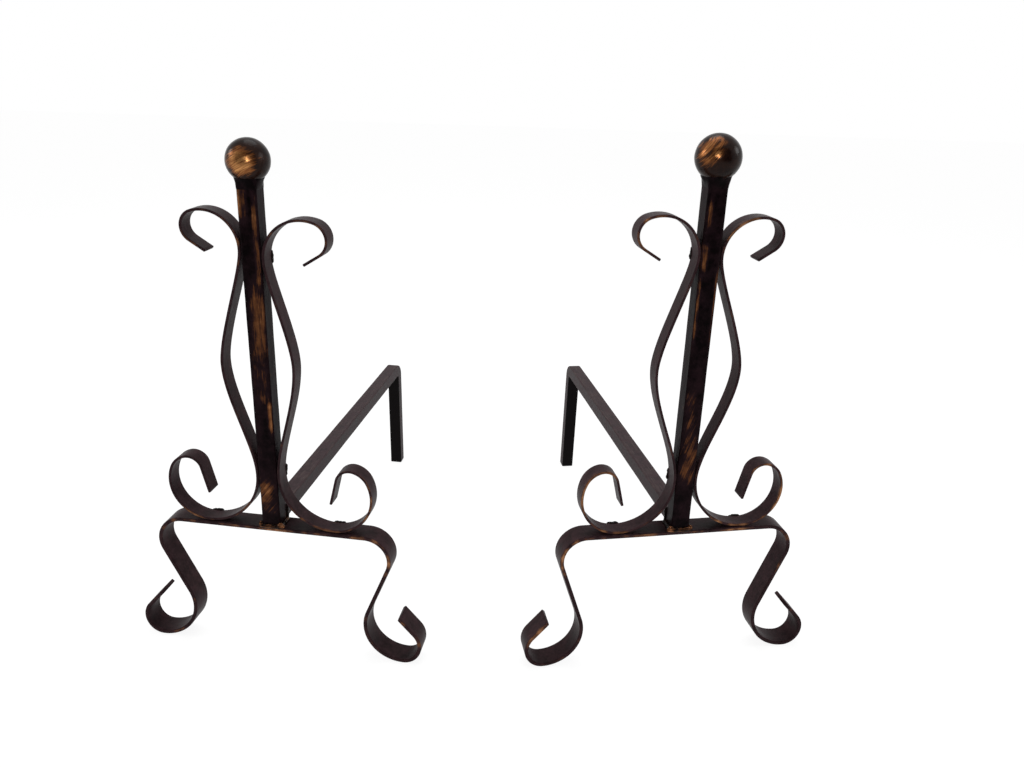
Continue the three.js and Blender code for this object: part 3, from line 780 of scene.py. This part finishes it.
def post_foot_weld(side, rng):
    """The bead round the post's foot, with two big drops at one front corner and one at the other."""
    side_x = POST_WIDTH / 2 + 0.7
    front_y, back_y = STRAP_FRONT + 0.75, 7.5
    around = [(-side_x, back_y, 1.0), (-side_x, front_y, 1.0), (side_x, front_y, 1.0), (side_x, back_y, 1.0)]
    drops = drops_along(around, (2.3, 1.6, 2.2), 38, rng, 0.3)
    big = -OUTWARD[side]
    drops += [((big * 8.6, -7.6, 2.0), (2.6, 2.0, 3.2)), ((big * 10.2, -7.4, 1.2), (2.2, 2.0, 1.9)),
              ((-big * 9.0, -7.2, 2.0), (2.2, 2.0, 3.4))]
    caught = [((big * 9.5, -8.2, 2.6), 5.0, 0.22), ((-big * 9.5, -8.2, 3.0), 3.5, 0.12),
              ((0, -9.5, 2.0), 7.0, 0.10)]
    weld(f"{side}_post_foot_weld_bead", side, drops, ["post_foot_weld"], 0.4, 0.0, 2, caught)


TACK_HALF_LENGTH = 3.6
TACK_DROP = (2.1, 2.1, 2.1)


def tack(side, place_name, tack_name, middle, axis, rng):
    """A short weld along an axis, between a scroll and the bar that it touches."""
    start, end = list(middle), list(middle)
    start[axis] -= TACK_HALF_LENGTH
    end[axis] += TACK_HALF_LENGTH
    weld(f"{side}_{place_name}_scroll_{tack_name}_weld_bead", side,
         drops_along([start, end], TACK_DROP, 6, rng, 0.2),
         [f"{place_name}_scroll_{tack_name}_weld"], rub_level=-0.08)


def welds(side):
    """All the weld beads of one andiron."""
    rng = random.Random(17 if side == "left" else 29)
    neck_weld(side)
    post_foot_weld(side, rng)
    behind_post = POST_WIDTH / 2 + 1.0
    behind_scroll = POST_WIDTH / 2 - 0.2
    for place_name, hand in (("outer", OUTWARD[side]), ("inner", -OUTWARD[side])):
        beside_bar = hand * (BAR_WIDTH / 2 + 0.8)
        weld(f"{side}_log_bar_{place_name}_weld_bead", side,
             drops_along([(beside_bar, behind_post, 1.5), (beside_bar, behind_post, 13.0)],
                         (1.8, 1.8, 1.8), 9, rng, 0.15),
             [f"log_bar_{place_name}_weld"], rub_level=-0.12)
        upper_height = UPPER_CONTACT_HEIGHT - 0.5 + BY_HAND[f"{side}_{place_name}"][0]
        beside_post = hand * SCROLL_MIDDLE
        tack(side, place_name, "upper", (beside_post, behind_scroll, upper_height), 2, rng)
        tack(side, place_name, "lower", (beside_post, behind_scroll, LOWER_CONTACT_HEIGHT + 0.5), 2, rng)
        tack(side, place_name, "foot",
             (hand * (SCROLL_MIDDLE + LOWER_SWEEP_RADIUS), SCROLL_WIDTH / 2 + 0.6, SEAT + 1.0), 0, rng)


# ---- build --------------------------------------------------------------------------------------

LEG_HEIGHT, PLACE = {}, {}
for side in ("left", "right"):
    low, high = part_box(f"{side}_post")
    LEG_HEIGHT[side] = low.z / MM - SEAT
    PLACE[side] = (Matrix.Translation(((low.x + high.x) / 2, (low.y + high.y) / 2, low.z - SEAT * MM))
                   @ Matrix.Rotation(math.radians(TURN_DEGREES[side]), 4, "Z")
                   @ Matrix.Scale(MM, 4))
    post(side)
    ball(side)
    foot_strap(side)
    log_bar(side)
    scroll(side, "outer", OUTWARD[side])
    scroll(side, "inner", -OUTWARD[side])
    welds(side)


# ---- floor, light and camera --------------------------------------------------------------------

def seen_white(tree):
    """1 for rays that see the white surroundings straight, mirrored or through glass."""
    path = add_node(tree, "ShaderNodeLightPath")
    either = add_node(tree, "ShaderNodeMath",
                      {0: path.outputs["Is Camera Ray"], 1: path.outputs["Is Glossy Ray"]},
                      operation="MAXIMUM")
    return add_node(tree, "ShaderNodeMath", {0: either.outputs[0], 1: path.outputs["Is Transmission Ray"]},
                    operation="MAXIMUM").outputs[0]


def white_paper():
    """Matt white paper that photographs as pure white, but still takes a faint shadow."""
    material = bpy.data.materials.new("white_paper_floor")
    material.use_nodes = True
    tree = material.node_tree
    tree.nodes.clear()
    paper = add_node(tree, "ShaderNodeBsdfDiffuse", {"Color": srgb("#f4f4f4")})
    glow = add_node(tree, "ShaderNodeEmission", {"Color": (1, 1, 1, 1), "Strength": 1.17})
    share = add_node(tree, "ShaderNodeMath", {0: seen_white(tree), 1: 0.75}, operation="MULTIPLY")
    both = add_node(tree, "ShaderNodeMixShader",
                    {0: share.outputs[0], 1: paper.outputs[0], 2: glow.outputs[0]})
    add_node(tree, "ShaderNodeOutputMaterial", {"Surface": both.outputs[0]})
    return material


floor_mesh = bpy.data.meshes.new("floor")
floor_mesh.from_pydata([(-6, -6, 0), (6, -6, 0), (6, 6, 0), (-6, 6, 0)], [], [(0, 1, 2, 3)])
floor_mesh.materials.append(white_paper())
floor = bpy.data.objects.new("floor", floor_mesh)
bpy.context.scene.collection.objects.link(floor)

world = bpy.data.worlds.new("white_studio")
world.use_nodes = True
world_tree = world.node_tree
world_tree.nodes.clear()
fill = add_node(world_tree, "ShaderNodeBackground", {"Color": (1, 1, 1, 1), "Strength": 0.5})
white = add_node(world_tree, "ShaderNodeBackground", {"Color": (1, 1, 1, 1), "Strength": 1.0})
world_mix = add_node(world_tree, "ShaderNodeMixShader",
                     {0: seen_white(world_tree), 1: fill.outputs[0], 2: white.outputs[0]})
add_node(world_tree, "ShaderNodeOutputWorld", {"Surface": world_mix.outputs[0]})
bpy.context.scene.world = world


def area_lamp(name, place, target, size, watts):
    """A round lamp, size metres across, that shines at the target."""
    lamp = bpy.data.lights.new(name, "AREA")
    lamp.shape = "DISK"
    lamp.size = size
    lamp.energy = watts
    holder = bpy.data.objects.new(name, lamp)
    holder.location = place
    holder.rotation_euler = (Vector(target) - Vector(place)).to_track_quat("-Z", "Y").to_euler()
    bpy.context.scene.collection.objects.link(holder)


MIDDLE = (0, -0.1, 0.2)
area_lamp("camera_flash", (0.03, -0.90, 0.57), MIDDLE, 0.03, 1.6)
area_lamp("left_window", (-1.6, -0.1, 1.0), MIDDLE, 0.6, 6)
area_lamp("right_window", (1.6, -0.1, 1.0), MIDDLE, 0.6, 5)
area_lamp("top_softbox", (0, 0.4, 1.9), MIDDLE, 1.2, 9)

# The dark room behind the photographer keeps the faces turned to the front black. It stands out of sight.
room_corners = [(-2.6, -1.9, 0.02), (2.6, -1.9, 0.02), (2.6, -1.9, 2.6), (-2.6, -1.9, 2.6)]
room = bpy.data.meshes.new("dark_room")
room.from_pydata(room_corners, [], [(0, 1, 2, 3)])
room_black = bpy.data.materials.new("black_cloth")
room_black.use_nodes = True
room_black.node_tree.nodes.clear()
cloth = add_node(room_black.node_tree, "ShaderNodeBsdfDiffuse", {"Color": srgb("#141414")})
add_node(room_black.node_tree, "ShaderNodeOutputMaterial", {"Surface": cloth.outputs[0]})
room.materials.append(room_black)
dark_room = bpy.data.objects.new("dark_room", room)
dark_room.visible_camera = False
bpy.context.scene.collection.objects.link(dark_room)

# The camera that the photograph was taken with: metres, radians and, for its focal length, pixels.
CAMERA_PLACE = (0.02003, -0.84810, 0.51174)
CAMERA_TURN = 0.0091
CAMERA_TILT = 0.3626
CAMERA_ROLL = 0.0331
FOCAL_PIXELS = 869.0
PHOTO_WIDTH = 1024

ahead = Vector((math.sin(CAMERA_TURN) * math.cos(CAMERA_TILT),
                math.cos(CAMERA_TURN) * math.cos(CAMERA_TILT),
                -math.sin(CAMERA_TILT)))
level = Vector((math.cos(CAMERA_TURN), -math.sin(CAMERA_TURN), 0))
upright = level.cross(ahead)
right_axis = math.cos(CAMERA_ROLL) * level + math.sin(CAMERA_ROLL) * upright
up_axis = -math.sin(CAMERA_ROLL) * level + math.cos(CAMERA_ROLL) * upright
lens = bpy.data.cameras.new("camera")
lens.sensor_fit = "HORIZONTAL"
lens.sensor_width = 36.0
lens.lens = FOCAL_PIXELS / PHOTO_WIDTH * lens.sensor_width
lens.clip_start = 0.01
camera = bpy.data.objects.new("camera", lens)
looking = Matrix((right_axis, up_axis, -ahead)).transposed().to_4x4()
camera.matrix_world = Matrix.Translation(CAMERA_PLACE) @ looking
bpy.context.scene.collection.objects.link(camera)
bpy.context.scene.camera = camera
bpy.context.scene.view_settings.view_transform = "Standard"
